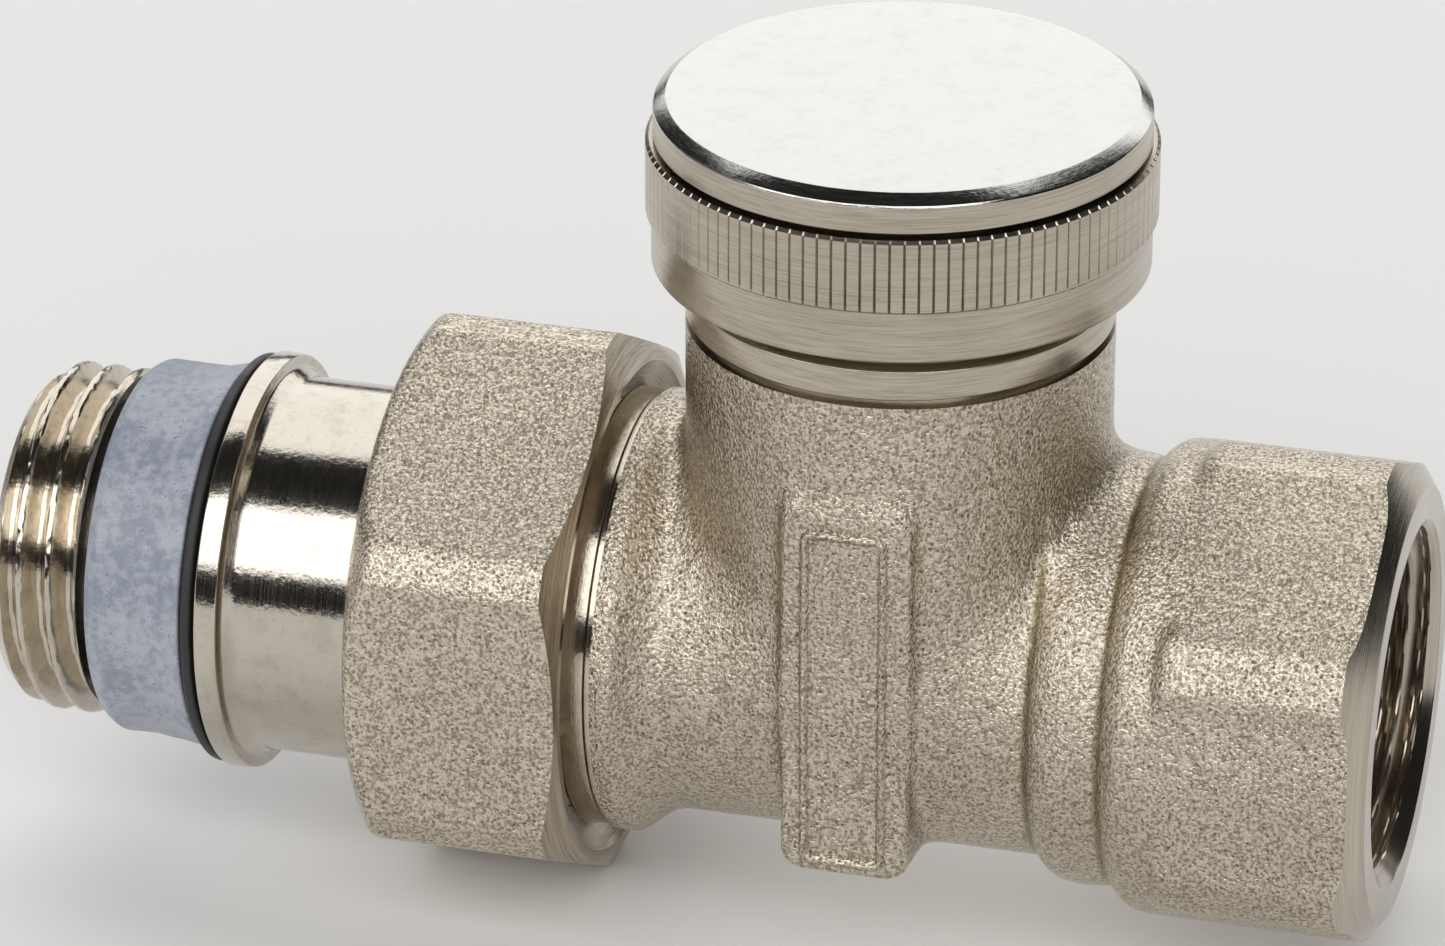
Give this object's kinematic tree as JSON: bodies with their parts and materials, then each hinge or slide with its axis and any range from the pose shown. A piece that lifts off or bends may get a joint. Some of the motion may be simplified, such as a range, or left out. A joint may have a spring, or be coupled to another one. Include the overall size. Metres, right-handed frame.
{
  "type": "lockshield valve",
  "caption": "Straight lockshield radiator valve, nickel-plated, with knurled cap, union nut, self-sealing tail and female pipe socket.",
  "frame": {"origin": "centre of the female pipe socket's mouth", "axes": "+X along the pipe axis, out of the socket's mouth; +Z parallel to the spindle axis, towards the cap"},
  "size_m": [0.0831, 0.031, 0.052],
  "materials": {
    "forged_nickel": "nickel plate over a fine pebbled forging, warm satin",
    "nut_nickel": "nickel plate over forged flats, with a turned bright chamfer",
    "turned_nickel": "nickel plate over turned brass, bright, with fine lathe lines",
    "bare_brass": "turned, unplated",
    "spring_steel": "bright",
    "black_rubber": "matt",
    "seal_plastic": "blue-grey, faintly mottled"
  },
  "bodies": {
    "body": {"valve_body": "forged_nickel", "bonnet": "bare_brass", "bonnet_o_ring": "black_rubber", "spindle_retaining_ring": "spring_steel"},
    "tail": {"tailpiece": "turned_nickel", "thread_seal_ring": "seal_plastic", "seal_backing_ring": "black_rubber", "spigot_o_ring": "black_rubber", "nut_snap_ring": "spring_steel"},
    "nut": {"union_nut": "nut_nickel"},
    "plug": {"seat_seal": "black_rubber", "seal_retainer": "bare_brass"},
    "spindle": {"shutoff_spindle": "bare_brass", "spindle_o_ring_upper": "black_rubber", "spindle_o_ring_lower": "black_rubber"},
    "throttle": {"throttle_cone": "bare_brass"},
    "preset": {"preset_screw": "spring_steel", "preset_o_ring": "black_rubber"},
    "cap_lift": {"cap_gasket": "black_rubber"},
    "cap": {"cap": "turned_nickel"}
  },
  "joints": [
    {"name": "tail_travel", "type": "slide", "parent": "body", "child": "tail", "axis": [-1, 0, 0], "range_m": [0, 0.00907]},
    {"name": "nut_turn", "type": "hinge", "parent": "tail", "child": "nut", "pos_m": [-0.0525, 0, 0], "axis": [-1, 0, 0], "range_deg": [0, 1801]},
    {"name": "plug_travel", "type": "slide", "parent": "body", "child": "plug", "axis": [0, 0, -1], "range_m": [0, 0.0032]},
    {"name": "spindle_turn", "type": "hinge", "parent": "plug", "child": "spindle", "pos_m": [-0.0303, 0, 0.02], "axis": [0, 0, -1], "range_deg": [0, 1153]},
    {"name": "throttle_travel", "type": "slide", "parent": "spindle", "child": "throttle", "axis": [0, 0, -1], "range_m": [0, 0.003]},
    {"name": "preset_turn", "type": "hinge", "parent": "throttle", "child": "preset", "pos_m": [-0.0303, 0, 0.018], "axis": [0, 0, -1], "range_deg": [0, 1441]},
    {"name": "cap_rise", "type": "slide", "parent": "body", "child": "cap_lift", "axis": [0, 0, 1], "range_m": [0, 0.012]},
    {"name": "cap_turn", "type": "hinge", "parent": "cap_lift", "child": "cap", "pos_m": [-0.0303, 0, 0.03], "axis": [0, 0, 1], "range_deg": [0, 2881]}
  ],
  "couplings": [
    {"joint": "nut_turn", "follows": "tail_travel", "rad_per_m": 3463.7},
    {"joint": "spindle_turn", "follows": "plug_travel", "rad_per_m": 6283.2},
    {"joint": "preset_turn", "follows": "throttle_travel", "rad_per_m": 8377.6},
    {"joint": "cap_turn", "follows": "cap_rise", "rad_per_m": 4188.8}
  ]
}
